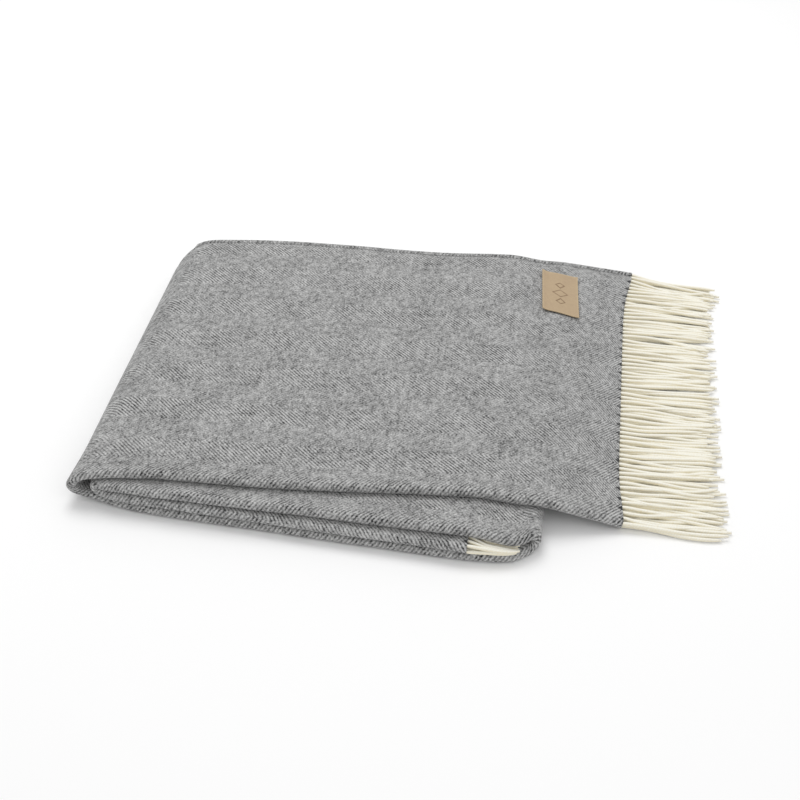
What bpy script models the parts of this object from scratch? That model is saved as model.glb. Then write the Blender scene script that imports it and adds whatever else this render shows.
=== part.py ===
"""A wool camp blanket, folded lengthwise in three and then rolled up in four flat
leaves, with a twisted fringe at each end and a sewn label. Metres, +Z up.

The cloth lies in a flat spiral. From the outer fringe it runs back over the top
leaf, round the left fold, along the bottom leaf, round the right fold, back along
the second leaf, round the small inner fold and out along the third leaf, which
ends in the inner fringe between the second leaf and the bottom one.
"""

from math import ceil, pi

import bmesh
import bpy
from mathutils import Matrix, Vector

# The folded cloth
STRIP_DEPTH = 0.433  # the 1.30 m width folded in three
LEAF_PITCH = 0.0105  # three plies of cloth, from one leaf to the next
GAP = 0.0003  # clearance between pieces that touch
STACK_LENGTH = 0.458  # outside of the left fold to outside of the right fold
THIRD_LEAF_SHORT_BY = 0.078  # where the tucked leaf stops, from the outside of the right fold
RIGHT_FOLD_HOLLOW = 0.0042  # between the two leaves that the right fold joins
SINK_CLEARANCE = 0.005  # the upper leaves have sunk all the way this far before the fold

# The end that hangs past the stack
OVERHANG = 0.078
FLAP_HINGE_INSIDE = 0.033  # the flap's hinge line, from the outside of the right fold
FLAP_LIFT_FRONT = 0.0019  # under the cloth's end, above the ground, in front
FLAP_LIFT_BACK = 0.0159  # the same at the back, where the stiff edge holds it up
FLAP_ROUNDING = 0.15  # how softly the flap turns down, as a share of its run

# How the leaves lie askew: front edges and slopes along the length
TOP_SLOPE = 0.055
SECOND_SLOPE = -0.045
THIRD_SLOPE = -0.074
BOTTOM_SLOPE = -0.0715
LOWER_SHIFT = 0.005  # the lower leaves lie this much nearer the front

# Fringes
STRAND_COUNT = 30
HEADING_LENGTH = 0.004
OUTER_FRINGE_LENGTH = 0.100
OUTER_FRINGE_THICKNESS = 0.0045
INNER_FRINGE_CLEARANCE = 0.0014  # from its bent strands to the right fold's axis
INNER_FRINGE_THICKNESS = 0.0032
STRAND_STEPS = 4

# Label
LABEL_LENGTH = 0.043  # along the blanket
LABEL_DEPTH = 0.079
LABEL_THICKNESS = 0.0012
LABEL_START_INSIDE = 0.024  # its left edge, from the outside of the right fold
LABEL_FROM_BACK_EDGE = 0.027
STITCH_INSET = 0.0035
STITCH_WIDTH = 0.0009
STITCH_THICKNESS = 0.0005

# Fineness
CLOTH_STEP = 0.008  # between rows of faces where the cloth bends
LABEL_STEPS = 10
EDGE_SEGMENTS = 4
FOLD_STEPS = 12

LEAF_THICKNESS = LEAF_PITCH - GAP
EDGE_ROUNDING = 0.48 * LEAF_THICKNESS
LEFT_FOLD_AXIS = 2 * LEAF_PITCH  # all places along X run from the outside of the left fold
RIGHT_FOLD_HEIGHT = 2 * LEAF_PITCH + RIGHT_FOLD_HOLLOW
RIGHT_FOLD_AXIS = STACK_LENGTH - RIGHT_FOLD_HEIGHT / 2
STACK_MIDDLE = 2 * LEAF_PITCH - GAP / 2
SINK = 3 * LEAF_PITCH - RIGHT_FOLD_HEIGHT  # how far the leaves sink past the tucked one
SINK_END = RIGHT_FOLD_AXIS - SINK_CLEARANCE
THIRD_LEAF_END = STACK_LENGTH - THIRD_LEAF_SHORT_BY
FLAP_START = STACK_LENGTH - FLAP_HINGE_INSIDE
FLAP_END = STACK_LENGTH + OVERHANG
FLAP_END_FRONT = LEAF_THICKNESS / 2 + FLAP_LIFT_FRONT  # middle of the cloth at its end
FLAP_END_BACK = LEAF_THICKNESS / 2 + FLAP_LIFT_BACK
LABEL_START = STACK_LENGTH - LABEL_START_INSIDE
INNER_FRINGE_LENGTH = RIGHT_FOLD_AXIS - THIRD_LEAF_END - INNER_FRINGE_CLEARANCE
TOTAL_LENGTH = FLAP_END + GAP + OUTER_FRINGE_LENGTH
TOP_MIDDLE = 3.5 * LEAF_PITCH - GAP / 2

# The unrolled left fold is half a turn of its middle line, so the top leaf turns over
# about a line that lies this far from the fold's axis
UNROLL_OFFSET = 0.75 * pi * LEAF_PITCH
UNROLL_LIFT = 0.0015  # half the room left under the leaf when it lies opened
TOP_HINGE_X = LEFT_FOLD_AXIS - UNROLL_OFFSET

# The origin is under the middle of the whole blanket
FRONT_EDGE = -STRIP_DEPTH / 2 - LOWER_SHIFT + BOTTOM_SLOPE * RIGHT_FOLD_AXIS
BACK_EDGE = STRIP_DEPTH / 2 + TOP_SLOPE * FLAP_END
BASE_LOCATION = Vector((-TOTAL_LENGTH / 2, -(FRONT_EDGE + BACK_EDGE) / 2, 0))

WOOL_GREY = (0.31, 0.31, 0.31, 1)
WOOL_GREY_DARK = (0.26, 0.26, 0.26, 1)
FRINGE_IVORY = (0.83, 0.80, 0.69, 1)
KRAFT_TAN = (0.52, 0.38, 0.25, 1)
THREAD_TAN = (0.62, 0.48, 0.34, 1)


def clamp(value):
    return min(1.0, max(0.0, value))


def sink(x):
    """How far the cloth above the third leaf has sunk at x."""
    s = clamp((x - THIRD_LEAF_END) / (SINK_END - THIRD_LEAF_END))
    return SINK * s * s * (3 - 2 * s)


def top_height(x, across):
    """Middle of the top leaf at x; across runs from 0 at the front to 1 at the back."""
    level = TOP_MIDDLE - sink(x)
    end_level = FLAP_END_FRONT + (FLAP_END_BACK - FLAP_END_FRONT) * across
    s = max(0.0, (x - RIGHT_FOLD_AXIS) / (FLAP_END - RIGHT_FOLD_AXIS))
    fall = s * s * (1 + FLAP_ROUNDING) / (s + FLAP_ROUNDING)
    return level - (TOP_MIDDLE - SINK - end_level) * fall


def top_edge(x):
    """Front edge of the top leaf at x."""
    return -STRIP_DEPTH / 2 + TOP_SLOPE * x


def lower_edge(slope):
    """Front edge of a lower leaf, as a function of x."""
    return lambda x: -STRIP_DEPTH / 2 - LOWER_SHIFT + slope * x


def across_top(x, y):
    return (y - top_edge(x)) / STRIP_DEPTH


def material(name, color, roughness):
    new = bpy.data.materials.new(name)
    new.use_nodes = True
    shader = new.node_tree.nodes["Principled BSDF"]
    shader.inputs["Base Color"].default_value = color
    shader.inputs["Roughness"].default_value = roughness
    shader.inputs["Metallic"].default_value = 0.0
    return new


def add_object(name, bm, parent, finish):
    """Make bm an object under parent, with its mesh given in the blanket's own frame."""
    bmesh.ops.recalc_face_normals(bm, faces=bm.faces)
    mesh = bpy.data.meshes.new(name)
    bm.to_mesh(mesh)
    bm.free()
    mesh.shade_smooth()
    mesh.set_sharp_from_angle(angle=pi / 5)
    mesh.materials.append(finish)
    new = bpy.data.objects.new(name, mesh)
    blanket.objects.link(new)
    new.parent = parent
    if parent != base:
        new.location = -parent.location
    return new


def hinge_empty(name, location, parent=None):
    new = bpy.data.objects.new(name, None)
    new.empty_display_size = 0.05
    new.location = location
    blanket.objects.link(new)
    if parent:
        new.parent = parent
    return new


def edges_along(bm, axis):
    """Edges that run along one axis of a box."""
    found = []
    for edge in bm.edges:
        direction = edge.verts[1].co - edge.verts[0].co
        if abs(direction[axis]) > 0.99 * direction.length:
            found.append(edge)
    return found


def box(x_range, depth, thickness):
    """A box from x_range, with its depth and thickness about zero."""
    bm = bmesh.new()
    bmesh.ops.create_cube(bm, size=1)
    length = x_range[1] - x_range[0]
    bmesh.ops.scale(bm, vec=(length, depth, thickness), verts=bm.verts)
    bmesh.ops.translate(bm, vec=(x_range[0] + length / 2, 0, 0), verts=bm.verts)
    return bm


def divide(bm, axis, steps):
    edges = edges_along(bm, axis)
    bmesh.ops.subdivide_edges(bm, edges=edges, cuts=steps - 1, use_grid_fill=True)


def level(height):
    """The height of a leaf that lies flat."""
    return lambda x, across: height


def leaf(name, x_range, front_edge, height, parent, finish):
    """A leaf of the folded cloth: a slab with round front and back edges, bent to height."""
    bm = box(x_range, STRIP_DEPTH, LEAF_THICKNESS)
    bmesh.ops.bevel(
        bm,
        geom=edges_along(bm, 0),
        offset=EDGE_ROUNDING,
        segments=EDGE_SEGMENTS,
        profile=0.5,
        affect="EDGES",
        material=-1,
    )
    divide(bm, 0, ceil((x_range[1] - x_range[0]) / CLOTH_STEP))
    for vert in bm.verts:
        x, y, z = vert.co
        across = y / STRIP_DEPTH + 0.5
        vert.co = (x, front_edge(x) + across * STRIP_DEPTH, height(x, across) + z)
    return add_object(name, bm, parent, finish)


def fold(name, axis_x, axis_z, inner, outer, front, side, parent, finish):
    """Half a turn of cloth about a line along Y, on the left (side -1) or right (side 1)."""
    bm = bmesh.new()
    bmesh.ops.create_grid(bm, x_segments=1, y_segments=1, size=0.5)
    bmesh.ops.scale(bm, vec=(outer - inner, STRIP_DEPTH, 1), verts=bm.verts)
    bmesh.ops.rotate(bm, matrix=Matrix.Rotation(pi / 2, 3, "Y"), verts=bm.verts)
    bmesh.ops.bevel(
        bm,
        geom=bm.verts[:],
        offset=0.96 * min(EDGE_ROUNDING, (outer - inner) / 2),
        segments=EDGE_SEGMENTS,
        profile=0.5,
        affect="VERTICES",
        material=-1,
    )
    middle = Vector((axis_x, front + STRIP_DEPTH / 2, axis_z - (inner + outer) / 2))
    bmesh.ops.translate(bm, vec=middle, verts=bm.verts)
    bmesh.ops.spin(
        bm,
        geom=bm.verts[:] + bm.edges[:] + bm.faces[:],
        cent=(axis_x, 0, axis_z),
        axis=(0, 1, 0),
        angle=-side * pi,
        steps=FOLD_STEPS,
    )
    return add_object(name, bm, parent, finish)


def inner_fold(name, front, parent, finish):
    """The tight fold inside the left one: a half-round bar."""
    bm = bmesh.new()
    radius = LEAF_PITCH - GAP / 2
    bmesh.ops.create_cone(
        bm,
        cap_ends=True,
        segments=2 * FOLD_STEPS,
        radius1=radius,
        radius2=radius,
        depth=STRIP_DEPTH,
        matrix=Matrix.Rotation(pi / 2, 4, "X"),
    )
    cut = bmesh.ops.bisect_plane(
        bm,
        geom=bm.verts[:] + bm.edges[:] + bm.faces[:],
        plane_co=(-GAP, 0, 0),
        plane_no=(1, 0, 0),
        clear_outer=True,
    )
    rim = [item for item in cut["geom_cut"] if isinstance(item, bmesh.types.BMEdge)]
    bmesh.ops.contextual_create(bm, geom=rim)
    place = Vector((LEFT_FOLD_AXIS, front + STRIP_DEPTH / 2, STACK_MIDDLE))
    bmesh.ops.translate(bm, vec=place, verts=bm.verts)
    return add_object(name, bm, parent, finish)


def fringe(name, start, length, thickness, front_edge, height, parent, finish):
    """A comb of strands that leave a narrow heading at the cloth's end."""
    bm = box((start, start + HEADING_LENGTH), STRIP_DEPTH, thickness)
    divide(bm, 1, 2 * STRAND_COUNT + 1)
    end = start + HEADING_LENGTH
    ends = [face for face in bm.faces if abs(face.calc_center_median().x - end) < GAP]
    ends.sort(key=lambda face: face.calc_center_median().y)
    tips = ends[1::2]
    step = Vector(((length - HEADING_LENGTH) / STRAND_STEPS, 0, 0))
    for _ in range(STRAND_STEPS):
        tips = bmesh.ops.extrude_discrete_faces(bm, faces=tips)["faces"]
        moved = {vert for face in tips for vert in face.verts}
        bmesh.ops.translate(bm, vec=step, verts=list(moved))
    for vert in bm.verts:
        x, y, z = vert.co
        across = y / STRIP_DEPTH + 0.5
        vert.co = (x, front_edge(x) + across * STRIP_DEPTH, height(x, across) + z)
    return add_object(name, bm, parent, finish)


def lay_on_top(bm, lift):
    """Lay a flat piece, given in plan about z = 0, on the top leaf's upper face."""
    for vert in bm.verts:
        x, y, z = vert.co
        y += TOP_SLOPE * (x - LABEL_START)
        surface = top_height(x, across_top(x, y)) + LEAF_THICKNESS / 2
        vert.co = (x, y, surface + lift + z)


def label_middle():
    back = top_edge(LABEL_START) + STRIP_DEPTH - LABEL_FROM_BACK_EDGE
    return Vector((LABEL_START + LABEL_LENGTH / 2, back - LABEL_DEPTH / 2, 0))


def label(parent, finish):
    bm = box((LABEL_START, LABEL_START + LABEL_LENGTH), LABEL_DEPTH, LABEL_THICKNESS)
    divide(bm, 0, LABEL_STEPS)
    bmesh.ops.translate(bm, vec=(0, label_middle().y, 0), verts=bm.verts)
    lay_on_top(bm, GAP + LABEL_THICKNESS / 2)
    return add_object("label", bm, parent, finish)


def label_stitching(parent, finish):
    """One line of thread all round the label, near its edge."""
    bm = box((-LABEL_LENGTH / 2 + STITCH_INSET, LABEL_LENGTH / 2 - STITCH_INSET),
             LABEL_DEPTH - 2 * STITCH_INSET, STITCH_THICKNESS)
    divide(bm, 0, LABEL_STEPS)
    divide(bm, 1, LABEL_STEPS)
    flats = [face for face in bm.faces if abs(face.normal.z) > 0.9]
    half = LABEL_LENGTH / 2 - STITCH_INSET
    half_depth = LABEL_DEPTH / 2 - STITCH_INSET
    for vert in bm.verts:
        # the first and last rows of the grid close up to the thread's width
        for axis, reach, steps in ((0, half, LABEL_STEPS), (1, half_depth, LABEL_STEPS)):
            first = reach * (1 - 2 / steps)
            if abs(abs(vert.co[axis]) - first) < reach / steps:
                vert.co[axis] *= (reach - STITCH_WIDTH) / first
    inside = []
    for face in flats:
        middle = face.calc_center_median()
        if abs(middle.x) < half - STITCH_WIDTH and abs(middle.y) < half_depth - STITCH_WIDTH:
            inside.append(face)
    bmesh.ops.delete(bm, geom=inside, context="FACES")
    open_edges = [edge for edge in bm.edges if edge.is_boundary]
    bmesh.ops.bridge_loops(bm, edges=open_edges)
    bmesh.ops.translate(bm, vec=label_middle(), verts=bm.verts)
    lay_on_top(bm, 2 * GAP + LABEL_THICKNESS + STITCH_THICKNESS / 2)
    return add_object("label_stitching", bm, parent, finish)


for item in list(bpy.data.objects):
    bpy.data.objects.remove(item)

blanket = bpy.data.collections.new("camp_blanket")
bpy.context.scene.collection.children.link(blanket)

grey = material("grey herringbone wool", WOOL_GREY, 0.95)
grey_dark = material("grey herringbone wool, inside", WOOL_GREY_DARK, 0.95)
ivory = material("ivory twisted wool", FRINGE_IVORY, 0.9)
kraft = material("kraft leatherette", KRAFT_TAN, 0.75)
thread = material("tan sewing thread", THREAD_TAN, 0.7)

base = hinge_empty("blanket_base", BASE_LOCATION)
top_hinge_place = (TOP_HINGE_X, 0, STACK_MIDDLE + UNROLL_LIFT)
top_hinge = hinge_empty("top_leaf_hinge", top_hinge_place, base)
flap_hinge_height = top_height(FLAP_START, 0) + LEAF_THICKNESS / 2
flap_hinge = hinge_empty("end_flap_hinge", (FLAP_START, 0, flap_hinge_height), base)

fold_front = -STRIP_DEPTH / 2 - LOWER_SHIFT / 2
right_front = lower_edge((SECOND_SLOPE + BOTTOM_SLOPE) / 2)(RIGHT_FOLD_AXIS)
leaf_start = LEFT_FOLD_AXIS + GAP / 2

leaf("bottom_leaf", (leaf_start, RIGHT_FOLD_AXIS - GAP), lower_edge(BOTTOM_SLOPE),
     level(LEAF_THICKNESS / 2), base, grey)
leaf("third_leaf", (leaf_start, THIRD_LEAF_END), lower_edge(THIRD_SLOPE),
     level(1.5 * LEAF_PITCH - GAP / 2), base, grey_dark)
leaf("second_leaf", (leaf_start, RIGHT_FOLD_AXIS - GAP), lower_edge(SECOND_SLOPE),
     lambda x, across: 2.5 * LEAF_PITCH - GAP / 2 - sink(x), base, grey)
fold("left_fold", LEFT_FOLD_AXIS - GAP / 2, STACK_MIDDLE, LEAF_PITCH + GAP / 2,
     2 * LEAF_PITCH - GAP / 2, fold_front, -1, base, grey)
inner_fold("inner_left_fold", fold_front, base, grey_dark)
fold("right_fold", RIGHT_FOLD_AXIS, (RIGHT_FOLD_HEIGHT - GAP) / 2,
     RIGHT_FOLD_HEIGHT / 2 - LEAF_PITCH + GAP / 2, (RIGHT_FOLD_HEIGHT - GAP) / 2,
     right_front, 1, base, grey)
fringe("inner_fringe", THIRD_LEAF_END + GAP, INNER_FRINGE_LENGTH, INNER_FRINGE_THICKNESS,
       lower_edge(THIRD_SLOPE),
       lambda x, across: 1.5 * LEAF_PITCH - GAP / 2 - sink(x) / 2, base, ivory)

leaf("top_leaf", (leaf_start, FLAP_START - GAP), top_edge, top_height, top_hinge, grey)

leaf("end_flap", (FLAP_START, FLAP_END), top_edge, top_height, flap_hinge, grey)


def outer_strand_height(x, across):
    """Middle of the outer fringe: off the cloth's end and down to the ground."""
    ground = OUTER_FRINGE_THICKNESS / 2 + GAP
    s = clamp((x - FLAP_END) / OUTER_FRINGE_LENGTH)
    return ground + (top_height(FLAP_END, across) - ground) * (1 - s) ** 2


fringe("outer_fringe", FLAP_END + GAP, OUTER_FRINGE_LENGTH, OUTER_FRINGE_THICKNESS,
       top_edge, outer_strand_height, flap_hinge, ivory)
label(flap_hinge, kraft)
label_stitching(flap_hinge, thread)
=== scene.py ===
"""The looks of a folded wool camp blanket: cloth, fringes, label and stage. Metres, +Z up."""

import math
import random
from functools import partial

import bmesh
import bpy
from mathutils import Matrix, Vector, noise


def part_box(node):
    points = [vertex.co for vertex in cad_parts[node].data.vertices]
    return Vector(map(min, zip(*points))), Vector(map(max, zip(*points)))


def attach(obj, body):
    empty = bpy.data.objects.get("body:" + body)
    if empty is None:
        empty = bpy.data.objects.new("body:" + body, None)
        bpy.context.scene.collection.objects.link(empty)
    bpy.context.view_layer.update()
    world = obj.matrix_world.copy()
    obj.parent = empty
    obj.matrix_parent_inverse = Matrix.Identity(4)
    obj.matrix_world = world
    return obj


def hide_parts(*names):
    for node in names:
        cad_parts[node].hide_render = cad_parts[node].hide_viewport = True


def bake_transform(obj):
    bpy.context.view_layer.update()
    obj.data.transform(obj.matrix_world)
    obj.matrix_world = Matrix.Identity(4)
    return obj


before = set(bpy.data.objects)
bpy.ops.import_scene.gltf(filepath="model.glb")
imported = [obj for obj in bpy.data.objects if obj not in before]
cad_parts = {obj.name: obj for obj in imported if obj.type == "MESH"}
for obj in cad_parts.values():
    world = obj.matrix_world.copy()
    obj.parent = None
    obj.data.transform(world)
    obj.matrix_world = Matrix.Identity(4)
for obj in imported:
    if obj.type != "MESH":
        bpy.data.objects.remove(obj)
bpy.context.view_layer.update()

bl_info = {
    "name": "Folded Camp Blanket",
    "version": (1, 0, 0),
    "blender": (4, 5, 0),
    "location": "3D View > Sidebar > Blanket",
    "description": "Builds a folded herringbone wool blanket with twisted fringes and a sewn label",
    "category": "Add Mesh",
}

# Places that the frame gives, measured from the outside of the left fold and from the
# middle of the folded strip there
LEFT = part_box("left_fold")[0][0]
LEAF_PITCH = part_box("left_fold")[1][2] / 4
STRIP_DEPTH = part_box("left_fold")[1][1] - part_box("left_fold")[0][1]
LOWER_SHIFT = 0.005  # the lower leaves lie this much nearer the front
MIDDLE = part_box("left_fold")[0][1] + STRIP_DEPTH / 2 + LOWER_SHIFT / 2
STACK_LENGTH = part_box("right_fold")[1][0] - LEFT
RIGHT_FOLD_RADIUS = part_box("right_fold")[1][2] / 2
THIRD_LEAF_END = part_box("third_leaf")[1][0] - LEFT + 0.010
FLAP_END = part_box("end_flap")[1][0] - LEFT
LEFT_AXIS = 2 * LEAF_PITCH
RIGHT_AXIS = STACK_LENGTH - RIGHT_FOLD_RADIUS
PLY_PITCH = LEAF_PITCH / 3


# --- Sizes and colours that a user would change ----------------------------------------


class BlanketCloth(bpy.types.PropertyGroup):
    """How the cloth is made and how it lies."""

    width: bpy.props.FloatProperty(
        name="Width",
        description="Width of the cloth before it is folded",
        default=1.30,
        unit="LENGTH",
    )
    ply_thickness: bpy.props.FloatProperty(
        name="Thickness",
        description="Thickness of one ply with its nap",
        default=0.0031,
        unit="LENGTH",
    )
    row_length: bpy.props.FloatProperty(
        name="Row length",
        description="Length of the faces along the leaves",
        default=0.006,
        unit="LENGTH",
    )
    row_width: bpy.props.FloatProperty(
        name="Row width",
        description="Width of the faces across the leaves",
        default=0.011,
        unit="LENGTH",
    )
    waviness: bpy.props.FloatProperty(
        name="Waviness",
        description="Height of the slow waves in the leaves",
        default=0.0016,
        unit="LENGTH",
    )
    edge_drift: bpy.props.FloatProperty(
        name="Edge drift",
        description="How far the folded edges wander",
        default=0.0016,
        unit="LENGTH",
    )
    stripe: bpy.props.FloatProperty(
        name="Stripe",
        description="Width of one herringbone stripe",
        default=0.031,
        unit="LENGTH",
    )
    twill: bpy.props.FloatProperty(
        name="Twill",
        description="From one twill line to the next along the cloth",
        default=0.0042,
        unit="LENGTH",
    )


class BlanketFringe(bpy.types.PropertyGroup):
    """The twisted cords at the ends of the cloth."""

    diameter: bpy.props.FloatProperty(
        name="Diameter",
        description="Diameter of one cord",
        default=0.0040,
        unit="LENGTH",
    )
    pitch: bpy.props.FloatProperty(
        name="Pitch",
        description="From one pair of cords to the next along the cloth's end",
        default=0.01444,
        unit="LENGTH",
    )
    lay: bpy.props.FloatProperty(
        name="Lay",
        description="Length of one full twist",
        default=0.0052,
        unit="LENGTH",
    )
    length: bpy.props.FloatProperty(
        name="Length",
        description="Length of the longest cords",
        default=0.110,
        unit="LENGTH",
    )
    unevenness: bpy.props.FloatProperty(
        name="Unevenness",
        description="How much the cords differ in length",
        default=0.013,
        unit="LENGTH",
    )
    stray: bpy.props.FloatProperty(
        name="Stray",
        description="How far the tips stray to the sides",
        default=0.0045,
        unit="LENGTH",
    )


class BlanketLabel(bpy.types.PropertyGroup):
    """The sewn label."""

    thickness: bpy.props.FloatProperty(
        name="Thickness",
        description="Thickness of the leatherette",
        default=0.0010,
        unit="LENGTH",
    )
    stitch: bpy.props.FloatProperty(
        name="Stitch",
        description="Length of one stitch with its gap",
        default=0.0036,
        unit="LENGTH",
    )


def hex_colour(name, description, value):
    """A colour property whose default is an sRGB hex value."""
    return bpy.props.FloatVectorProperty(
        name=name,
        description=description,
        subtype="COLOR",
        size=3,
        min=0,
        max=1,
        default=linear(value)[:3],
    )


def linear(value):
    """An sRGB hex value, such as #8a8a8a, as linear red, green, blue and alpha."""
    channels = [int(value[i : i + 2], 16) / 255 for i in (1, 3, 5)]
    return tuple(c / 12.92 if c <= 0.04045 else ((c + 0.055) / 1.055) ** 2.4 for c in channels) + (1,)


# --- The folded shape of the cloth ------------------------------------------------------

TOP_SLOPE = 0.055
SECOND_SLOPE = -0.045
THIRD_SLOPE = -0.074
BOTTOM_SLOPE = -0.0715
FLAP_ROUNDING = 0.15
SINK = 3 * LEAF_PITCH - 2 * RIGHT_FOLD_RADIUS
SINK_END = RIGHT_AXIS - 0.005
FLAP_MIDDLE_FRONT = 0.0072  # height of the middle of the flap's end, in front
FLAP_MIDDLE_BACK = 0.0205
BACK_BEAD = 0.0026  # the folded back edge stands up by this much behind the free edge
RING_REACH = 0.14  # the left fold's stretch of cloth runs on over the leaves as far as here
FOLD_ROWS = 22
EDGE_ROWS = 10


def sink(x):
    """How far the leaves above the third one have sunk at x."""
    s = min(1.0, max(0.0, (x - THIRD_LEAF_END) / (SINK_END - THIRD_LEAF_END)))
    return SINK * s * s * (3 - 2 * s)


def top_height(x, across):
    """Middle of the top leaf; across runs from 0 at the front edge to 1 at the back edge."""
    middle = 3.5 * LEAF_PITCH
    end = FLAP_MIDDLE_FRONT + (FLAP_MIDDLE_BACK - FLAP_MIDDLE_FRONT) * max(0.0, across) ** 2
    s = max(0.0, (x - RIGHT_AXIS) / (FLAP_END - RIGHT_AXIS))
    fall = s * s * (1 + FLAP_ROUNDING) / (s + FLAP_ROUNDING)
    return middle - sink(x) - (middle - SINK - end) * fall


def bump(distance, width):
    """1 where the distance is 0, falling away smoothly on both sides over the width."""
    return math.exp(-((distance / width) ** 2))


class Station:
    """One row across the folded cloth: its place, its outward normal and its two edges."""

    def __init__(self, x, z, normal, leaf, turn):
        self.x = x
        self.z = z
        self.normal = normal
        self.leaf = leaf  # third, inner, second, right, bottom, left or top
        self.turn = turn  # how far round its fold a row is, from 0 to 1
        self.along = 0.0


def flat_rows(leaf, start, end, height, up, step):
    """Rows along a flat leaf from x = start to x = end."""
    count = max(2, math.ceil(abs(end - start) / step))
    rows = []
    for i in range(count + 1):
        x = start + (end - start) * i / count
        slope = (height(x + 0.001) - height(x - 0.001)) / 0.002
        normal = Vector((-slope, 0, 1)).normalized() * up
        rows.append(Station(x, height(x), normal, leaf, i / count))
    return rows


def turned_rows(leaf, x, z, radius, side):
    """Rows round a fold about a line along Y. Side is -1 on the left and 1 on the right."""
    rows = []
    for i in range(1, FOLD_ROWS):
        turn = i / FOLD_ROWS
        angle = math.pi * (0.5 - turn) if side > 0 else math.pi * (1.5 - turn)
        normal = Vector((math.cos(angle), 0, math.sin(angle)))
        rows.append(Station(x + radius * normal.x, z + radius * normal.z, normal, leaf, turn))
    return rows


def spiral(step):
    """All the rows of the cloth, from the inner fringe to the outer one."""
    pitch = LEAF_PITCH
    rows = flat_rows("third", THIRD_LEAF_END, LEFT_AXIS, lambda x: 1.5 * pitch, -1, 2 * step)
    rows += turned_rows("inner", LEFT_AXIS, 2 * pitch, 0.5 * pitch, -1)
    rows += flat_rows("second", LEFT_AXIS, RIGHT_AXIS, lambda x: 2.5 * pitch - sink(x), 1, step)
    rows += turned_rows("right", RIGHT_AXIS, RIGHT_FOLD_RADIUS, RIGHT_FOLD_RADIUS - pitch / 2, 1)
    rows += flat_rows("bottom", RIGHT_AXIS, LEFT_AXIS, lambda x: 0.5 * pitch, -1, 2 * step)
    rows += turned_rows("left", LEFT_AXIS, 2 * pitch, 1.5 * pitch, -1)
    rows += flat_rows("top", LEFT_AXIS, FLAP_END, lambda x: top_height(x, 0.5), 1, step)
    for before, row in zip(rows, rows[1:]):
        row.along = before.along + math.hypot(row.x - before.x, row.z - before.z)
    return rows


LEAF_SLOPES = {"third": THIRD_SLOPE, "second": SECOND_SLOPE, "bottom": BOTTOM_SLOPE, "top": TOP_SLOPE}
NEIGHBOURS = {"inner": ("third", "second"), "right": ("second", "bottom"), "left": ("bottom", "top")}
# How far each fold's ends draw in and over what length of cloth: in front, then at the back
CORNERS = {
    "inner": (0.004, 0.012, 0.020, 0.016),
    "right": (0.018, 0.015, 0.020, 0.020),
    "left": (-0.004, 0.020, 0.042, 0.020),
}
FRONT_BOW = 0.003  # the top leaf's front edge bows out by this much
TIP_HEIGHT = 0.0205  # the front left corner is pinched together at about this height
FOLD_MIDDLES = {}  # where the middle of each fold lies along the cloth


def leaf_front(leaf, x):
    """Front edge of a leaf. The bottom leaf draws in towards both its folds."""
    y = -STRIP_DEPTH / 2 + LEAF_SLOPES[leaf] * x
    if leaf == "top":
        return y - FRONT_BOW * bump(x - 0.2, 0.09)
    y -= LOWER_SHIFT
    if leaf == "bottom":
        y += 0.011 * bump(x, 0.045) + 0.009 * bump(x - STACK_LENGTH, 0.045)
    return y


def leaf_back(leaf, x):
    """Back edge of a leaf."""
    return STRIP_DEPTH / 2 - (0.0 if leaf == "top" else LOWER_SHIFT) + LEAF_SLOPES[leaf] * x


def edges(row):
    """Front and back edge of a row."""
    if row.leaf in LEAF_SLOPES:
        front, back = leaf_front(row.leaf, row.x), leaf_back(row.leaf, row.x)
    else:
        first, last = NEIGHBOURS[row.leaf]
        x = RIGHT_AXIS if row.leaf == "right" else LEFT_AXIS
        front = leaf_front(first, x) * (1 - row.turn) + leaf_front(last, x) * row.turn
        back = leaf_back(first, x) * (1 - row.turn) + leaf_back(last, x) * row.turn
    for fold, (front_in, front_reach, back_in, back_reach) in CORNERS.items():
        middle = FOLD_MIDDLES[fold]
        front += front_in * bump(row.along - middle, front_reach)
        back -= back_in * bump(row.along - middle, back_reach)
    return front, back


def front_corner(place, row, inward):
    """The front left corner is pinched: the outer fold runs out to a low tip, and the
    inner fold stands back from it."""
    near = bump(inward, 0.030)
    place.z += (TIP_HEIGHT - place.z) * 0.36 * near * bump(place.x, 0.032)
    hollow = bump(inward, 0.022) * bump(place.x - 0.084, 0.013)
    place.z += hollow * {"top": 0.0014, "second": -0.0010}.get(row.leaf, 0.0)
    place.x -= 0.0045 * near * bump(row.along - FOLD_MIDDLES["left"], 0.045)
    place.x += 0.009 * near * bump(row.along - FOLD_MIDDLES["inner"], 0.040)


def wave(place, cloth):
    """Slow waves that all the leaves share, growing with height so that none cross."""
    rise = noise.noise(Vector((place.x * 6.5, place.y * 5.0, 1.7)))
    rise += 0.5 * noise.noise(Vector((place.x * 15, place.y * 13, 8.3)))
    return cloth.waviness * rise * min(1.0, max(0.0, place.z / (4 * LEAF_PITCH)))


def top_puff(x, depth):
    """The top leaf stands a little higher towards the back left."""
    return depth * (0.0066 * bump(x - 0.11, 0.11) + 0.0006 * bump(x - 0.40, 0.09))


def end_inset(x, depth):
    """The flap draws in a little where it falls away, less at its two corners."""
    s = max(0.0, (x - RIGHT_AXIS) / (FLAP_END - RIGHT_AXIS))
    return 0.0095 * s * s * (1 - bump(1 - depth, 0.12) - 0.6 * bump(depth, 0.10))


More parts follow.
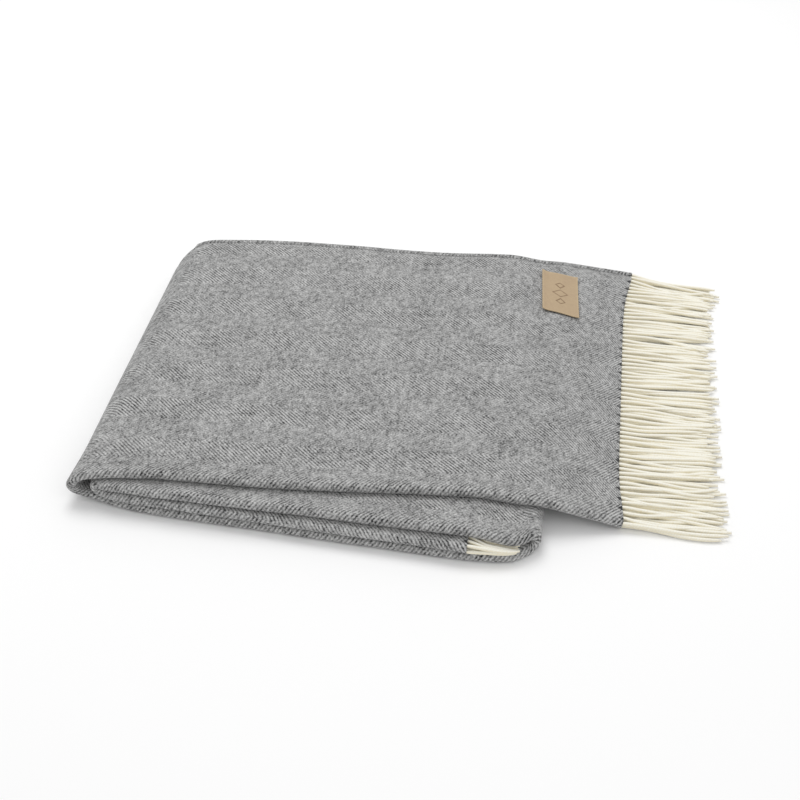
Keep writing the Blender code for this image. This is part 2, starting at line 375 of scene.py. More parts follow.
def on_top(x, y, above, cloth):
    """A place over the top leaf's upper face, in the frame's own axes."""
    front, back = leaf_front("top", x), leaf_back("top", x)
    depth = (y - front) / (back - front)
    middle = Vector((x, y, top_height(x, depth) + top_puff(x, depth)))
    slope = (top_height(x + 0.001, depth) - top_height(x - 0.001, depth)) / 0.002
    normal = Vector((-slope, 0, 1)).normalized()
    place = middle + normal * (PLY_PITCH + cloth.ply_thickness / 2 + above)
    place.x -= end_inset(x, depth)
    place.z += wave(place, cloth)
    return place + Vector((LEFT, MIDDLE, 0))


def cross_section(cloth):
    """Points across the folded strip, from the free edge on top: share of the depth,
    further distance in, offset along the normal, and distance across the flat cloth."""
    front = PLY_PITCH + cloth.ply_thickness / 2
    back = (PLY_PITCH + BACK_BEAD + cloth.ply_thickness) / 2
    flat = math.ceil(STRIP_DEPTH / cloth.row_width)
    free_edge = 0.0085  # the upper ply stops this far short of the back fold
    points = [(1, -free_edge, 0.76 * PLY_PITCH), (1, -free_edge - 0.004, 0.86 * PLY_PITCH)]
    for i in range(flat):
        part = i / flat
        points.append((1 - part, front * part - (free_edge + 0.010) * (1 - part), PLY_PITCH))
    points.append((0, front, PLY_PITCH))
    for i in range(1, EDGE_ROWS):
        angle = math.pi * (0.5 + i / EDGE_ROWS)
        points.append((0, front + PLY_PITCH * math.cos(angle), PLY_PITCH * math.sin(angle)))
    for i in range(flat + 1):
        points.append((i / flat, front * (1 - i / flat) - back * i / flat, -PLY_PITCH))
    for i in range(1, EDGE_ROWS):
        angle = math.pi * (-0.5 + i / EDGE_ROWS)
        radius = (PLY_PITCH + BACK_BEAD) / 2
        rise = radius - PLY_PITCH + radius * math.sin(angle)
        points.append((1, -back + radius * math.cos(angle), rise))
    foot = back + 0.005
    for distance, share in ((0.0, 1.0), (0.0012, 0.8), (0.0024, 0.35), (0.0034, 0.06)):
        points.append((1, -back - distance, BACK_BEAD * share))
    for i in range(flat + 1):
        points.append((1 - i / flat, -foot * (1 - i / flat) + (front + 0.001) * i / flat, 0.0))
    across = 0.0
    section = []
    for i, (share, inward, offset) in enumerate(points):
        if i:
            before = points[i - 1]
            step = (share - before[0]) * STRIP_DEPTH + inward - before[1]
            across += math.hypot(step, offset - before[2])
        section.append((share, inward, offset, across))
    return section


def cloth_point(row, point, cloth):
    """Where a point of the folded cloth lies, in the frame's own axes."""
    share, inward, offset, across = point
    front, back = row.edges
    y = front + share * (back - front) + inward
    y += cloth.edge_drift * noise.noise(Vector((row.along * 9, share * 2.5, 3.1)))
    depth = (y - front) / (back - front)
    place = Vector((row.x, y, row.z)) + row.normal * offset
    if row.leaf == "top":
        place.z += top_height(row.x, depth) - top_height(row.x, 0.5) + top_puff(row.x, depth)
        place.x -= end_inset(row.x, depth)
    front_corner(place, row, y - front)
    place.z += wave(place, cloth)
    return place + Vector((LEFT, MIDDLE, 0))


def fold_drift(row):
    """How far the folds have wandered over the weave, most of all at the inner end."""
    nearness = min(1.0, max(0.0, 1 - row.along / 0.30))
    return 0.014 * nearness * nearness * (3 - 2 * nearness)


def cloth_piece(name, rows, section, cloth_end, cloth, finish):
    """A stretch of the folded cloth as one sheet with its thickness."""
    bm = bmesh.new()
    columns, ranks = len(rows) - 1, len(section) - 1
    bmesh.ops.create_grid(bm, x_segments=columns, y_segments=ranks, size=0.5)
    weave = bm.loops.layers.uv.new("weave")
    parted = bm.verts.layers.float.new("parted_nap")
    from_end = bm.verts.layers.float.new("from_end")
    across = bm.verts.layers.float.new("across")
    for face in bm.faces:
        for loop in face.loops:
            row = rows[round((loop.vert.co.x + 0.5) * columns)]
            point = section[round((loop.vert.co.y + 0.5) * ranks)]
            loop[weave].uv = (row.along, point[3] + fold_drift(row))
    for vert in bm.verts:
        row = rows[round((vert.co.x + 0.5) * columns)]
        point = section[round((vert.co.y + 0.5) * ranks)]
        vert[parted] = bump(point[0] * STRIP_DEPTH + point[1] - PLY_PITCH, 0.0095)
        vert[from_end] = min(row.along, cloth_end - row.along)
        vert[across] = point[3]
        vert.co = cloth_point(row, point, cloth)
    ply = bm.verts.layers.deform.verify()
    for vert in bm.verts:
        to_selvedge = min(vert[across], section[-1][3] - vert[across])
        vert[ply][0] = 0.45 + 0.55 * min(1.0, to_selvedge / 0.009)
    mesh = bpy.data.meshes.new(name)
    bm.to_mesh(mesh)
    bm.free()
    piece = bpy.data.objects.new(name, mesh)
    bpy.context.scene.collection.objects.link(piece)
    mesh.materials.append(finish)
    piece.vertex_groups.new(name="ply")
    shell = piece.modifiers.new("ply", "SOLIDIFY")
    shell.thickness = cloth.ply_thickness
    shell.offset = 0
    shell.vertex_group = "ply"
    shell.use_even_offset = True
    piece = settle(piece)
    piece.data.shade_smooth()
    piece.data.set_sharp_from_angle(angle=math.radians(50))
    return piece


def settle(piece):
    """The piece with its modifiers turned into mesh."""
    bpy.context.view_layer.update()
    graph = bpy.context.evaluated_depsgraph_get()
    shaped = piece.evaluated_get(graph)
    mesh = bpy.data.meshes.new_from_object(shaped, preserve_all_data_layers=True, depsgraph=graph)
    piece.modifiers.clear()
    piece.data = mesh
    mesh.name = piece.name
    return piece


# --- Materials --------------------------------------------------------------------------


def connect(node, values):
    """Give a node's inputs their links or values. A node stands for its first output."""
    for key, value in values.items():
        if isinstance(value, bpy.types.Node):
            value = value.outputs[0]
        if isinstance(value, bpy.types.NodeSocket):
            node.id_data.links.new(value, node.inputs[key])
        else:
            node.inputs[key].default_value = value


def add(tree, kind, values=(), **settings):
    """A new shader node with its settings, and its inputs by name or in their order."""
    node = tree.nodes.new("ShaderNode" + kind)
    for key, value in settings.items():
        setattr(node, key, value)
    connect(node, values if isinstance(values, dict) else dict(enumerate(values)))
    return node


def new_material(name):
    """A material, the function that adds nodes to it and its shader."""
    material = bpy.data.materials.new(name)
    material.use_nodes = True
    return material, partial(add, material.node_tree), material.node_tree.nodes["Principled BSDF"]


def herringbone_wool(cloth, fringe, colours, front_fold):
    """Carded wool woven in a herringbone and brushed: soft chevrons of pale and dark
    yarn that the nap blurs on the flats and that open up on the folded edges."""
    material, node, shader = new_material("Grey herringbone wool, brushed")
    uv = node("UVMap", uv_map="weave")
    along, across = node("SeparateXYZ", (uv,)).outputs[:2]
    parted = node("Attribute", attribute_name="parted_nap").outputs["Fac"]
    from_end = node("Attribute", attribute_name="from_end").outputs["Fac"]
    # loose fibres lie in streaks of 2.6 by 1.2 mm along the weft, single yarns are 2 mm
    # apart, tufts of nap 7 mm, and the brushing and the shade of the wool vary slowly
    weft = node("Mapping", {"Vector": uv, "Scale": (380, 860, 1)})
    noises = []
    for place, scale, detail, roughness in (
        (uv, 60, 2, 0.5),
        (uv, 90, 2, 0.5),
        (uv, 30, 3, 0.5),
        (weft, 1, 3, 0.75),
        (uv, 520, 2, 0.7),
        (uv, 150, 3, 0.6),
        (uv, 28, 2, 0.5),
    ):
        inputs = {"Vector": place, "Scale": scale, "Detail": detail, "Roughness": roughness}
        noises.append(node("TexNoise", inputs, noise_dimensions="2D"))
    stripe_drift, line_drift, brushing, fibres, yarns, tufts, shades = noises

    # stripes run along the blanket; one of them turns over the folded edges
    start = cloth.stripe - front_fold - 0.0065
    ragged = node("Math", (stripe_drift, 0.0016, start - 0.0008), operation="MULTIPLY_ADD")
    shifted = node("Math", (across, ragged), operation="ADD")
    slant = node("Math", (shifted, cloth.stripe), operation="PINGPONG")
    wander = node("Math", (line_drift, 0.0011, -0.00055), operation="MULTIPLY_ADD")
    phase = node("Math", (along, slant), operation="ADD")
    phase = node("Math", (phase, wander), operation="ADD")
    phase = node("Math", (phase, 2 * math.pi / cloth.twill), operation="MULTIPLY")
    lines = node("Math", (phase,), operation="SINE")
    # the nap hides every other stripe more, because it was brushed along the other's twill
    turn = node("Math", (shifted, math.pi / cloth.stripe), operation="MULTIPLY")
    turn = node("Math", (turn,), operation="SINE")
    against = node("Math", (turn, 2.5, 0.5), operation="MULTIPLY_ADD", use_clamp=True)
    against = node("Math", (against, -0.7, 1.0), operation="MULTIPLY_ADD")
    clear = node("Math", (brushing, 2.4, -0.75), operation="MULTIPLY_ADD", use_clamp=True)
    clear = node("Math", (clear, 0.75, 0.22), operation="MULTIPLY_ADD")
    clear = node("Math", (clear, against), operation="MULTIPLY")
    # it parts where the cloth turns over its front folds, and the ends are brushed less
    on_fold = node("Math", (parted, 0.66), operation="MULTIPLY")
    clear = node("Math", (clear, on_fold), operation="MAXIMUM")
    near_end = node("Math", (from_end, -7.0, 0.75), operation="MULTIPLY_ADD", use_clamp=True)
    clear = node("Math", (clear, near_end), operation="MAXIMUM")
    # the free edge is woven plain, so its twill lines fade out there; it is also coloured darker as
    # painted shadow, for the shadow under the selvedge
    plain_edge_and_painted_shadow = node("Math", (across, -600, 1.7), operation="MULTIPLY_ADD", use_clamp=True)
    twilled = node("Math", (1.0, plain_edge_and_painted_shadow), operation="SUBTRACT")
    clear = node("Math", (clear, twilled), operation="MULTIPLY")
    # each line is broken up by its yarns
    broken = node("Math", (yarns, 0.7, 0.65), operation="MULTIPLY_ADD")
    broken = node("Math", (clear, broken), operation="MULTIPLY")
    weave = node("Math", (lines, broken), operation="MULTIPLY")
    tone = node("Math", (weave, 0.36, 0.5), operation="MULTIPLY_ADD")
    for pattern, weight in ((fibres, 1.40), (yarns, 1.05), (tufts, 0.85), (shades, 0.30)):
        centred = node("Math", (pattern, 0.5), operation="SUBTRACT")
        tone = node("Math", (centred, weight, tone), operation="MULTIPLY_ADD")
    # painted shade: small dark triangles at the cloth's ends, between the cords' roots, stand for the
    # shade in the gaps between the cords
    gap = node("Math", (across, fringe.pitch / 2), operation="PINGPONG")
    width = node("Math", (from_end, -0.5, 0.0034), operation="MULTIPLY_ADD")
    painted_notch_shade = node("Math", (width, gap), operation="SUBTRACT")
    painted_notch_shade = node("Math", (painted_notch_shade, 900), operation="MULTIPLY", use_clamp=True)
    # painted shade in the notches between the cords and painted shadow along the free edge
    for dark, weight in ((painted_notch_shade, -0.55), (plain_edge_and_painted_shadow, -0.26)):
        tone = node("Math", (dark, weight, tone), operation="MULTIPLY_ADD")
    ramp = node("ValToRGB", (tone,))
    ramp.color_ramp.elements[0].color = (*colours.wool_dark, 1)
    ramp.color_ramp.elements[1].color = (*colours.wool_light, 1)
    height = node("Math", (yarns, 0.4), operation="MULTIPLY")
    height = node("Math", (weave, 0.5, height), operation="MULTIPLY_ADD")
    relief = node("Bump", {"Height": height, "Distance": 0.0006, "Strength": 0.5})
    connect(shader, {
        "Base Color": ramp,
        "Normal": relief,
        "Roughness": 0.95,
        "Specular IOR Level": 0.15,
        "Sheen Weight": 0.2,
        "Sheen Roughness": 0.5,
    })
    return material


def twisted_wool(fringe, colours):
    """Undyed worsted yarns twisted into cords: creamy and soft, with painted shade that makes them
    yellower on their sides and in their twist grooves.
    """
    material, node, shader = new_material("Ivory worsted cord, twisted")
    uv = node("UVMap", uv_map="cord")
    along, around = node("SeparateXYZ", (uv,)).outputs[:2]
    # two strands, so each turn of the twist shows two grooves
    along = node("Math", (along, 2 * math.pi / fringe.lay), operation="MULTIPLY")
    around = node("Math", (around, 2 * math.pi), operation="MULTIPLY")
    strands = node("Math", (along, around), operation="ADD")
    strands = node("Math", (strands,), operation="SINE")
    strands = node("Math", (strands,), operation="ABSOLUTE")
    # fibres 2 mm long and a seventh of the cord's girth wide
    lengthwise = node("Mapping", {"Vector": uv, "Scale": (500, 7, 1)})
    inputs = {"Vector": lengthwise, "Scale": 1.0, "Detail": 3.0}
    fibres = node("TexNoise", inputs, noise_dimensions="2D")
    # painted shade: the sides, where light has already met the neighbouring cords, are coloured
    # yellower than the top and bottom
    painted_light_share = node("Math", (around,), operation="SINE")
    painted_light_share = node("Math", (painted_light_share,), operation="ABSOLUTE")
    tone = node("Math", (painted_light_share, 0.70, 0.10), operation="MULTIPLY_ADD")
    # painted shade: the twist grooves are coloured darker as well
    tone = node("Math", (strands, 0.16, tone), operation="MULTIPLY_ADD")
    centred = node("Math", (fibres, 0.5), operation="SUBTRACT")
    tone = node("Math", (centred, 0.8, tone), operation="MULTIPLY_ADD", use_clamp=True)
    ramp = node("ValToRGB", (tone,))
    ramp.color_ramp.elements[0].color = (*colours.cord_painted_shade, 1)
    ramp.color_ramp.elements[1].color = (*colours.cord_light, 1)
    height = node("Math", (strands, 0.3, fibres), operation="MULTIPLY_ADD")
    relief = node("Bump", {"Height": height, "Distance": 0.0004, "Strength": 0.25})
    connect(shader, {
        "Base Color": ramp,
        "Normal": relief,
        "Roughness": 0.9,
        "Specular IOR Level": 0.2,
        "Sheen Weight": 0.2,
    })
    return material


def kraft_leatherette(colours):
    """Washed kraft leatherette, die-cut: matt tan with fine paper fibre, paler at its cut
    edge, and a plain lozenge print in brown."""
    material, node, shader = new_material("Kraft leatherette, die-cut")
    uv = node("UVMap", uv_map="face")
    places = node("SeparateXYZ", (uv,)).outputs[:2]
    x, y = (node("Math", (place,), operation="ABSOLUTE") for place in places)
    # paper fibre of 4 mm and the cloudiness of a washed sheet
    inputs = {"Vector": uv, "Scale": 260.0, "Detail": 4.0, "Roughness": 0.65}
    grain = node("TexNoise", inputs, noise_dimensions="2D")
    cloud = node("TexNoise", {"Vector": uv, "Scale": 45.0, "Detail": 2.0}, noise_dimensions="2D")
    tone = node("Math", (cloud, 0.5, -0.1), operation="MULTIPLY_ADD")
    tone = node("Math", (grain, 0.7, tone), operation="MULTIPLY_ADD")
    side = node("Math", (LABEL_SIZE[0] / 2, x), operation="SUBTRACT")
    end = node("Math", (LABEL_SIZE[1] / 2, y), operation="SUBTRACT")
    rim = node("Math", (side, end), operation="MINIMUM")
    rim = node("Math", (rim, -420, 1.0), operation="MULTIPLY_ADD", use_clamp=True)
    tone = node("Math", (rim, 0.5, tone), operation="MULTIPLY_ADD", use_clamp=True)
    base = node("ValToRGB", (tone,))
    base.color_ramp.elements[0].color = (*colours.kraft, 1)
    base.color_ramp.elements[1].color = (*colours.kraft_edge, 1)
    # three lozenges in a row, 17 mm apart, the middle one larger
    row = node("Math", (y, 0.0085), operation="PINGPONG")
    reach = node("Math", (row, x), operation="ADD")
    size = node("Math", (y, -0.20, 0.0095), operation="MULTIPLY_ADD")
    lozenge = node("Math", (size, reach), operation="SUBTRACT")
    printed = node("Math", (lozenge, 2500), operation="MULTIPLY", use_clamp=True)
    hollow = node("Math", (lozenge, -2500, 6.0), operation="MULTIPLY_ADD", use_clamp=True)
    inside = node("Math", (y, 0.0255), operation="LESS_THAN")
    worn = node("Math", (grain, 0.9, 0.25), operation="MULTIPLY_ADD", use_clamp=True)
    for part in (hollow, inside, worn):
        printed = node("Math", (printed, part), operation="MULTIPLY")
    inks = {0: printed, "A": base, "B": (*colours.ink, 1)}
    ink = node("Mix", inks, data_type="RGBA").outputs["Result"]
    relief = node("Bump", {"Height": grain, "Distance": 0.0003, "Strength": 0.4})
    connect(shader, {
        "Base Color": ink,
        "Normal": relief,
        "Roughness": 0.75,
        "Specular IOR Level": 0.3,
    })
    return material


def sewing_thread(colours):
    """Spun polyester thread in the label's colour, with a slight gloss."""
    material, node, shader = new_material("Tan polyester thread, spun")
    place = node("TexCoord").outputs["Object"]
    turned = node("Mapping", {"Vector": place, "Rotation": (0, 0, 0.6)})
    inputs = {"Vector": turned, "Scale": 700.0, "Distortion": 1.0}
    twist = node("TexWave", inputs).outputs["Fac"]
    ramp = node("ValToRGB", (twist,))
    ramp.color_ramp.elements[0].color = (*(0.75 * c for c in colours.thread), 1)
    ramp.color_ramp.elements[1].color = (*colours.thread, 1)
    connect(shader, {"Base Color": ramp, "Roughness": 0.55})
    return material


class BlanketColours(bpy.types.PropertyGroup):
    """Colours of the blanket's materials."""

    wool_dark: hex_colour("Dark yarn", "The darkest wool in the cloth", "#262627")
    wool_light: hex_colour("Light yarn", "The palest wool in the cloth", "#c8c8c7")
    cord_light: hex_colour("Fringe", "The fringe's cords", "#f6f4ea")
    # painted shade: the yellower colour given to the cords' sides and twist grooves
    cord_painted_shade: hex_colour("Fringe grooves", "Between the fringe's yarns", "#ebe1c3")
    kraft: hex_colour("Label", "The label's leatherette", "#a89279")
    kraft_edge: hex_colour("Label edge", "The label's cut edge", "#bba686")
    ink: hex_colour("Print", "The label's printed lozenges", "#6b523c")
    thread: hex_colour("Thread", "The label's stitching", "#c4a67e")
    floor: hex_colour("Floor", "The studio floor", "#fafafa")


# --- Cords ------------------------------------------------------------------------------


def section_place(section, across):
    """The point of the folded strip at a distance across the flat cloth."""
    for before, after in zip(section, section[1:]):
        if across <= after[3]:
            part = (across - before[3]) / (after[3] - before[3])
            return tuple(a + (b - a) * part for a, b in zip(before, after))
    return section[-1]


CORD_SIDES = 8
OUTER_RING, INNER_RING = 0.0025, 0.003  # length of the faces along an outer and an inner cord
ROOT_DEPTH = 0.003  # the cords start this far inside the cloth
INNER_LENGTH = 0.053  # of the longest cords of the inner fringe


def cord(bm, uv_layer, path, radius, offset):
    """A cord along a path of points: a strip of faces rolled up, narrow where it leaves
    the cloth and thinning out towards its tip."""
    sides, rings = CORD_SIDES, len(path) - 1
    made = bmesh.ops.create_grid(bm, x_segments=rings, y_segments=sides, size=0.5)["verts"]
    lengths = [0.0]
    for a, b in zip(path, path[1:]):
        lengths.append(lengths[-1] + (b - a).length)
    grid = {}
    for vert in made:
        grid[vert] = round((vert.co.x + 0.5) * rings), round((vert.co.y + 0.5) * sides)
    for face in {face for vert in made for face in vert.link_faces}:
        for loop in face.loops:
            ring, side = grid[loop.vert]
            loop[uv_layer].uv = (lengths[ring] + offset, side / sides)
    for vert, (ring, side) in grid.items():
        ahead, behind = path[min(ring + 1, rings)], path[max(ring - 1, 0)]
        forward = (ahead - behind).normalized()
        sideways = forward.cross(Vector((0, 0, 1))).normalized()
        upward = sideways.cross(forward)
        angle = -2 * math.pi * side / sides
        left = lengths[-1] - lengths[ring]
        size = radius * (0.55 + 0.45 * min(1.0, lengths[ring] / 0.006))
        size *= 1.0 - 0.42 * bump(left, 0.007)
        vert.co = path[ring] + size * (math.cos(angle) * sideways + math.sin(angle) * upward)
    bmesh.ops.remove_doubles(bm, verts=made, dist=1e-6)
    near = (edge for vert in made if vert.is_valid for edge in vert.link_edges)
    rims = [edge for edge in dict.fromkeys(near) if edge.is_boundary]
    bmesh.ops.holes_fill(bm, edges=rims, sides=sides)


def outer_path(root, depth, level, lane, fringe, dice):
    """A cord of the outer fringe, from the cloth down to the floor. It is combed towards
    its lane, so that the cords of the three plies lie side by side."""
    radius = fringe.diameter / 2
    length = fringe.length - 0.0045 * (level + 1) - fringe.unevenness * dice.random() ** 2
    rest = radius * (1.0 + 0.60 * (level + 1)) + 0.0010 * dice.random()
    swing, phase = dice.uniform(0.0008, 0.0030), dice.uniform(0, 2 * math.pi)
    stray = max(-1.6, min(1.6, dice.gauss(0, 0.6))) * fringe.stray
    if level > 0.5 and dice.random() < 0.15:
        stray *= 2.6
        rest += radius
    backward = 1.1 * (1 - bump(1 - depth, 0.09)) * (1 - bump(depth, 0.05))
    stations = math.ceil(length / OUTER_RING)
    points = []
    for i in range(stations + 1):
        t = i / stations
        s = length * t - ROOT_DEPTH
        z = rest + (root.z - rest) * (1 - max(0.0, s / length)) ** 2
        combed = min(1.0, 3.0 * t)
        y = root.y + (lane - root.y) * combed * combed * (3 - 2 * combed)
        y += stray * t * t + swing * (math.sin(phase + 5 * t) - math.sin(phase))
        y += 0.007 * t * noise.noise(Vector((root.y * 22, t * 1.6, 4.4)))
        y += backward * (root.z - z) - 0.0015 * t * bump(depth, 0.03)
        points.append(Vector((root.x + s, y, z)))
    return points


def inner_path(root, inward, level, _lane, _fringe, dice):
    """A cord of the inner fringe, between the second leaf and the bottom leaf. The ones
    near the front crowd together there."""
    length = INNER_LENGTH - 0.005 * dice.random()
    stray = max(-1.5, min(1.5, dice.gauss(0, 0.7))) * 0.0025
    stations = math.ceil(length / INNER_RING)
    bottom_front = leaf_front("bottom", THIRD_LEAF_END)
    points = []
    for i in range(stations + 1):
        t = i / stations
        s = length * t - ROOT_DEPTH
        x = THIRD_LEAF_END + s
        round_fold = leaf_front("bottom", x) - bottom_front + 0.012 * bump(x - STACK_LENGTH, 0.020)
        y = root.y + stray * t * t + round_fold * math.exp(-inward / 0.05)
        y -= 0.72 * (inward - 0.003) * bump(inward, 0.045) * min(1.0, 2.5 * t)
        squeeze = sink(x) / LEAF_PITCH
        z = 1.5 * LEAF_PITCH - sink(x) / 2 + level * PLY_PITCH * (1 - squeeze)
        points.append(Vector((LEFT + x, y, z)))
    return points


def fringe_piece(name, row, section, make_path, radius, cloth, fringe, seed):
    """All the cords at one end of the cloth."""
    dice = random.Random(seed)
    bm = bmesh.new()
    uv_layer = bm.loops.layers.uv.new("cord")
    count = 2 * round(section[-1][3] / fringe.pitch)  # two cords from each notch
    pitch = section[-1][3] / count
    upright = 1 if row.normal.z > 0 else -1
    points = [section_place(section, (i + 0.5) * pitch) for i in range(count)]
    roots = [cloth_point(row, point, cloth) for point in points]
    order = sorted(range(count), key=lambda i: roots[i].y)
    first, last = roots[order[0]].y, roots[order[-1]].y
    lanes = {i: first + (last - first) * rank / (count - 1) for rank, i in enumerate(order)}
    for i, (point, root) in enumerate(zip(points, roots)):
        inward = root.y - MIDDLE - row.edges[0]
        level = upright * point[2] / PLY_PITCH
        measure = inward if make_path is inner_path else inward / (row.edges[1] - row.edges[0])
        path = make_path(root, measure, level, lanes[i], fringe, dice)
        cord(bm, uv_layer, path, radius, dice.random())
    bmesh.ops.recalc_face_normals(bm, faces=bm.faces)
    mesh = bpy.data.meshes.new(name)
    bm.to_mesh(mesh)
    bm.free()
    piece = bpy.data.objects.new(name, mesh)
    bpy.context.scene.collection.objects.link(piece)
    mesh.shade_smooth()
    return piece


# --- Label ------------------------------------------------------------------------------

LABEL_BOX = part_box("label")
LABEL_SHIFT = Vector((0.0013, 0.0088))  # how far the label lies to the front left of its node
LABEL_MIDDLE = (Vector(LABEL_BOX[0][:2]) + Vector(LABEL_BOX[1][:2])) / 2
LABEL_MIDDLE -= Vector((LEFT, MIDDLE)) + LABEL_SHIFT
LABEL_SIZE = (0.0425, 0.081)
LABEL_ALONG = Vector((0.992, -0.130))  # the label is sewn on a little askew
LABEL_ACROSS = Vector((-0.066, 0.998))
SEAM_INSET = 0.0030
STITCH = Matrix.Diagonal((0.0012, 0.00042, 0.00034, 1))  # half a stitch's length, width and height


def on_label(u, v, label, cloth):
    """A place on the label, u and v metres from its middle along its own sides. Its rim
    stands off the cloth a little, most of all on the left."""
    place = LABEL_MIDDLE + u * LABEL_ALONG + v * LABEL_ACROSS
    side, end = 2 * u / LABEL_SIZE[0], 2 * v / LABEL_SIZE[1]
    lift = 0.0012 * abs(side) ** 6 + 0.0008 * abs(end) ** 8 + 0.0012 * max(0.0, -side) ** 3
    return on_top(place.x, place.y, label.thickness + lift, cloth)


# --- Operators --------------------------------------------------------------------------


def cloth_rows(cloth):
    """All the rows of the cloth with their front and back edges."""
    rows = spiral(cloth.row_length)
    for fold in CORNERS:
        turned = [row for row in rows if row.leaf == fold]
        FOLD_MIDDLES[fold] = turned[len(turned) // 2].along
    for row in rows:
        row.edges = edges(row)
    return rows


class OBJECT_OT_blanket_stage(bpy.types.Operator):
    """Set up the floor, the soft studio light and the camera"""

    bl_idname = "object.blanket_stage"
    bl_label = "Blanket Stage"

    def execute(self, context):
        scene = context.scene
        bm = bmesh.new()
        bmesh.ops.create_grid(bm, x_segments=1, y_segments=1, size=8)
        mesh = bpy.data.meshes.new("floor")
        bm.to_mesh(mesh)
        bm.free()
        floor = bpy.data.objects.new("floor", mesh)
        scene.collection.objects.link(floor)
        material, _, shader = new_material("Matt white backdrop")
        colour = (*scene.blanket_colours.floor, 1)
        connect(shader, {"Base Color": colour, "Roughness": 0.9, "Specular IOR Level": 0.0})
        mesh.materials.append(material)

        scene.view_settings.view_transform = "Standard"
        world = bpy.data.worlds.new("studio")
        world.use_nodes = True
        connect(world.node_tree.nodes["Background"], {"Color": (1, 1, 1, 1), "Strength": 0.68})
        scene.world = world
        for name, place, size, power in (
            ("key", (-0.5, 0.9, 2.2), 1.6, 25.0),
            ("fill", (1.3, -1.5, 1.8), 1.8, 6.5),
        ):
            light = bpy.data.lights.new(name, "AREA")
            light.shape = "DISK"
            light.size = size
            light.energy = power
            lamp = bpy.data.objects.new(name, light)
            lamp.location = place
            lamp.rotation_euler = (-Vector(place)).to_track_quat("-Z", "Y").to_euler()
            scene.collection.objects.link(lamp)

        camera = bpy.data.cameras.new("camera")
        camera.lens = 63.3
        camera.sensor_width = 36
        eye = bpy.data.objects.new("camera", camera)
        azimuth, elevation = math.radians(7.95), math.radians(37.4)
        eye.rotation_euler = (math.pi / 2 - elevation, 0, azimuth)
        level = math.cos(elevation)
        back = Vector((math.sin(azimuth) * level, -math.cos(azimuth) * level, math.sin(elevation)))
        target, distance = Vector((-0.020, -0.032, 0.02)), 1.475
        eye.location = target + distance * back
        scene.collection.objects.link(eye)
        scene.camera = eye
        return {"FINISHED"}


class OBJECT_OT_blanket_fringes(bpy.types.Operator):
    """Build the twisted cords at both ends of the cloth"""

    bl_idname = "object.blanket_fringes"
    bl_label = "Blanket Fringes"

    def execute(self, context):
        cloth, fringe = context.scene.blanket_cloth, context.scene.blanket_fringe
        rows, section = cloth_rows(cloth), cross_section(cloth)
        finish = twisted_wool(fringe, context.scene.blanket_colours)
        radius = fringe.diameter / 2
        for name, row, make_path, cord_radius, seed, body, node in (
            ("fringe_outer_end", rows[-1], outer_path, radius, 5, "flap", "outer_fringe"),
            ("fringe_inner_end", rows[0], inner_path, 0.85 * radius, 8, "stack", "inner_fringe"),
        ):
            piece = fringe_piece(name, row, section, make_path, cord_radius, cloth, fringe, seed)
            piece.data.materials.append(finish)
            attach(piece, body)
            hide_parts(node)
        return {"FINISHED"}


class OBJECT_OT_blanket_label(bpy.types.Operator):
    """Build the label and the stitches that hold it"""

    bl_idname = "object.blanket_label"
    bl_label = "Blanket Label"

    def execute(self, context):
        scene = context.scene
        cloth, label, colours = scene.blanket_cloth, scene.blanket_label, scene.blanket_colours
        bm = bmesh.new()
        bmesh.ops.create_grid(bm, x_segments=12, y_segments=20, size=0.5)
        face_uv = bm.loops.layers.uv.new("face")
        for face in bm.faces:
            for loop in face.loops:
                loop[face_uv].uv = (loop.vert.co.x * LABEL_SIZE[0], loop.vert.co.y * LABEL_SIZE[1])
        for vert in bm.verts:
            u, v = vert.co.x, vert.co.y
            vert.co = on_label(u * LABEL_SIZE[0], v * LABEL_SIZE[1], label, cloth)
        bmesh.ops.recalc_face_normals(bm, faces=bm.faces)
        bmesh.ops.solidify(bm, geom=bm.faces[:], thickness=label.thickness)
        bmesh.ops.recalc_face_normals(bm, faces=bm.faces)
        rim = [edge for edge in bm.edges if edge.is_manifold and edge.calc_face_angle() > 1.0]
        bmesh.ops.bevel(
            bm, geom=rim, offset=0.0002, segments=2, profile=0.5, affect="EDGES", material=-1
        )
        mesh = bpy.data.meshes.new("label_leatherette")
        bm.to_mesh(mesh)
        bm.free()
        tag = bpy.data.objects.new("label_leatherette", mesh)
        scene.collection.objects.link(tag)
        mesh.materials.append(kraft_leatherette(colours))
        mesh.shade_smooth()
        mesh.set_sharp_from_angle(angle=math.radians(40))
        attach(tag, "flap")
        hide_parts("label")

        bm = bmesh.new()
        half_u, half_v = LABEL_SIZE[0] / 2 - SEAM_INSET, LABEL_SIZE[1] / 2 - SEAM_INSET
        corners = [(-half_u, -half_v), (half_u, -half_v), (half_u, half_v), (-half_u, half_v)]
        for (u0, v0), (u1, v1) in zip(corners, corners[1:] + corners[:1]):
            count = round(math.hypot(u1 - u0, v1 - v0) / label.stitch)
            for i in range(count):
                t = (i + 0.5) / count
                u, v = u0 + (u1 - u0) * t, v0 + (v1 - v0) * t
                place = on_label(u, v, label, cloth)
                step = on_label(u + (u1 - u0) / 50, v + (v1 - v0) / 50, label, cloth) - place
                turn = step.to_track_quat("X", "Z").to_matrix().to_4x4()
                shape = Matrix.Translation(place) @ turn @ STITCH
                bmesh.ops.create_icosphere(bm, subdivisions=1, radius=1, matrix=shape)
        mesh = bpy.data.meshes.new("label_stitches")
        bm.to_mesh(mesh)
        bm.free()
        stitches = bpy.data.objects.new("label_stitches", mesh)
        scene.collection.objects.link(stitches)
        mesh.materials.append(sewing_thread(colours))
        mesh.shade_smooth()
        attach(stitches, "flap")
        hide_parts("label_stitching")
        return {"FINISHED"}


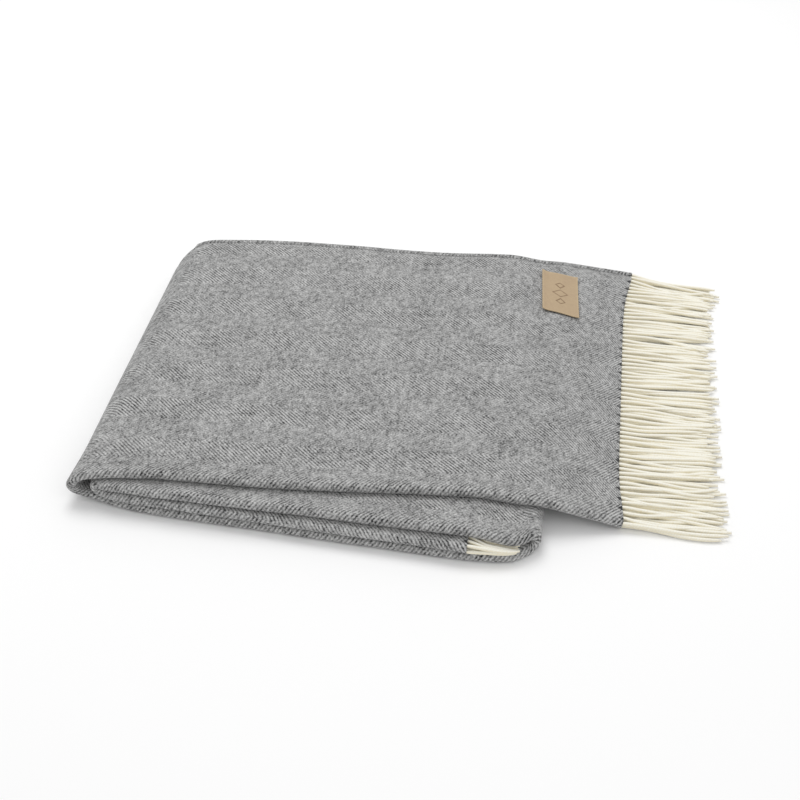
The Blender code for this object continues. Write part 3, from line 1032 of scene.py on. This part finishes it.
class OBJECT_OT_blanket_cloth(bpy.types.Operator):
    """Build the folded cloth in three stretches, parted where the blanket opens"""

    bl_idname = "object.blanket_cloth"
    bl_label = "Blanket Cloth"

    def execute(self, context):
        cloth, fringe = context.scene.blanket_cloth, context.scene.blanket_fringe
        rows, section = cloth_rows(cloth), cross_section(cloth)
        front_fold = sum([point[3] for point in section if point[0] == 0][:EDGE_ROWS]) / EDGE_ROWS
        finish = herringbone_wool(cloth, fringe, context.scene.blanket_colours, front_fold)
        left = [i for i, row in enumerate(rows) if row.leaf == "left"]
        ring_start = left[0] - 1
        split = next(i for i in range(left[-1], len(rows)) if rows[i].x > RING_REACH)
        build = partial(
            cloth_piece, section=section, cloth_end=rows[-1].along, cloth=cloth, finish=finish
        )

        lower = build("cloth_lower_leaves", rows[: ring_start + 1])
        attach(lower, "stack")
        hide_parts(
            "bottom_leaf", "third_leaf", "second_leaf", "inner_left_fold", "right_fold"
        )

        ring = build("cloth_left_fold", rows[ring_start : split + 1])
        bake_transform(ring)
        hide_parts("left_fold")

        upper = build("cloth_top_leaf", rows[split:])
        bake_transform(upper)
        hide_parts("top_leaf", "end_flap")

        return {"FINISHED"}


class VIEW3D_PT_blanket(bpy.types.Panel):
    """The blanket's steps, in order"""

    bl_label = "Camp Blanket"
    bl_space_type = "VIEW_3D"
    bl_region_type = "UI"
    bl_category = "Blanket"

    def draw(self, context):
        column = self.layout.column(align=True)
        for operator in OPERATORS:
            column.operator(operator.bl_idname)


OPERATORS = (
    OBJECT_OT_blanket_stage,
    OBJECT_OT_blanket_fringes,
    OBJECT_OT_blanket_label,
    OBJECT_OT_blanket_cloth,
)
GROUPS = {
    "blanket_cloth": BlanketCloth,
    "blanket_fringe": BlanketFringe,
    "blanket_label": BlanketLabel,
    "blanket_colours": BlanketColours,
}


def register():
    for item in (*GROUPS.values(), *OPERATORS, VIEW3D_PT_blanket):
        bpy.utils.register_class(item)
    for name, group in GROUPS.items():
        setattr(bpy.types.Scene, name, bpy.props.PointerProperty(type=group))


def unregister():
    for name in GROUPS:
        delattr(bpy.types.Scene, name)
    for item in reversed((*GROUPS.values(), *OPERATORS, VIEW3D_PT_blanket)):
        bpy.utils.unregister_class(item)


def main():
    register()
    for operator in OPERATORS:
        group, name = operator.bl_idname.split(".")
        result = getattr(getattr(bpy.ops, group), name)()
        if result != {"FINISHED"}:
            raise RuntimeError(f"{operator.bl_label} did not finish")


if __name__ == "__main__":
    main()
